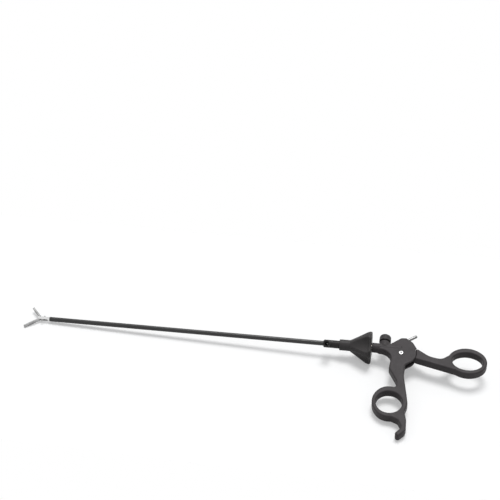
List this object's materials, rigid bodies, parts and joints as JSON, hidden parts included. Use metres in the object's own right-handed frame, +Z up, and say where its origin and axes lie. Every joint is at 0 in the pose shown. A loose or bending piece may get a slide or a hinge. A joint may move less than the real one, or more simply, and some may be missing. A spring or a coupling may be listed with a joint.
{
  "type": "laparoscopic grasper",
  "caption": "Laparoscopic grasper with ring handle, thumb lever, rotation knob, long insulated shaft and double-action fenestrated jaws.",
  "frame": {"origin": "on the shaft's axis at the front face of the sheath hub", "axes": "+X back along the shaft towards the handle, +Y towards the release button, +Z up, out of the plane of the handle, which lies on its side"},
  "size_m": [0.4928, 0.1371, 0.0325],
  "materials": {
    "handle_plastic": "moulded charcoal plastic, fine satin grain",
    "knob_plastic": "moulded dark charcoal plastic, fine grain",
    "hub_plastic": "moulded black plastic, satin",
    "black_sleeve": "satin black shrink sleeve",
    "satin_steel": "satin stainless steel",
    "bright_steel": "polished stainless steel",
    "spring_steel": "drawn spring wire",
    "bearing_bronze": "sintered bearing bronze",
    "seal_rubber": "matte silicone rubber"
  },
  "bodies": {
    "handle": {"handle_frame": "handle_plastic", "barrel_bush": "bearing_bronze", "pivot_screw": "bright_steel", "pivot_nut": "bright_steel", "electrode_pin": "bright_steel"},
    "thumb_lever": {"thumb_lever": "handle_plastic", "pivot_bush": "bearing_bronze", "ball_fork": "satin_steel"},
    "rotor": {"insulation_sleeve": "black_sleeve", "outer_tube": "satin_steel", "clevis": "satin_steel", "jaw_pivot_pin": "bright_steel", "sheath_hub": "hub_plastic", "rod_seal": "seal_rubber", "flush_port": "hub_plastic", "union_nut": "knob_plastic", "rotation_knob": "knob_plastic", "spigot": "satin_steel"},
    "pull_rod": {"pull_rod": "satin_steel", "rod_ball": "satin_steel", "drive_pin": "bright_steel"},
    "upper_jaw": {"upper_jaw": "satin_steel"},
    "lower_jaw": {"lower_jaw": "satin_steel"},
    "release_button": {"release_button": "knob_plastic", "latch_slide": "satin_steel", "button_spring": "spring_steel"}
  },
  "joints": [
    {"name": "thumb_hinge", "type": "hinge", "parent": "handle", "child": "thumb_lever", "pos_m": [0.08, -0.0075, 0], "axis": [0, 0, -1], "range_deg": [0, 26]},
    {"name": "shaft_rotation", "type": "hinge", "parent": "handle", "child": "rotor", "pos_m": [0, 0, 0], "axis": [1, 0, 0], "continuous": true},
    {"name": "rod_slide", "type": "slide", "parent": "rotor", "child": "pull_rod", "axis": [1, 0, 0], "range_m": [0, 0.00346]},
    {"name": "upper_jaw_hinge", "type": "hinge", "parent": "rotor", "child": "upper_jaw", "pos_m": [-0.3136, 0, 0], "axis": [0, 0, 1], "range_deg": [0, 45]},
    {"name": "lower_jaw_hinge", "type": "hinge", "parent": "rotor", "child": "lower_jaw", "pos_m": [-0.3136, 0, 0], "axis": [0, 0, -1], "range_deg": [0, 45]},
    {"name": "button_press", "type": "slide", "parent": "handle", "child": "release_button", "axis": [0, -1, 0], "range_m": [0, 0.0014], "stiffness_N_per_m": 600, "springref_m": -0.002, "deforming": ["button_spring"]}
  ],
  "couplings": [
    {"joint": "rod_slide", "follows": "thumb_hinge", "m_per_rad": 0.0076314},
    {"joint": "upper_jaw_hinge", "follows": "thumb_hinge", "ratio": 1.7308},
    {"joint": "lower_jaw_hinge", "follows": "thumb_hinge", "ratio": 1.7308}
  ]
}
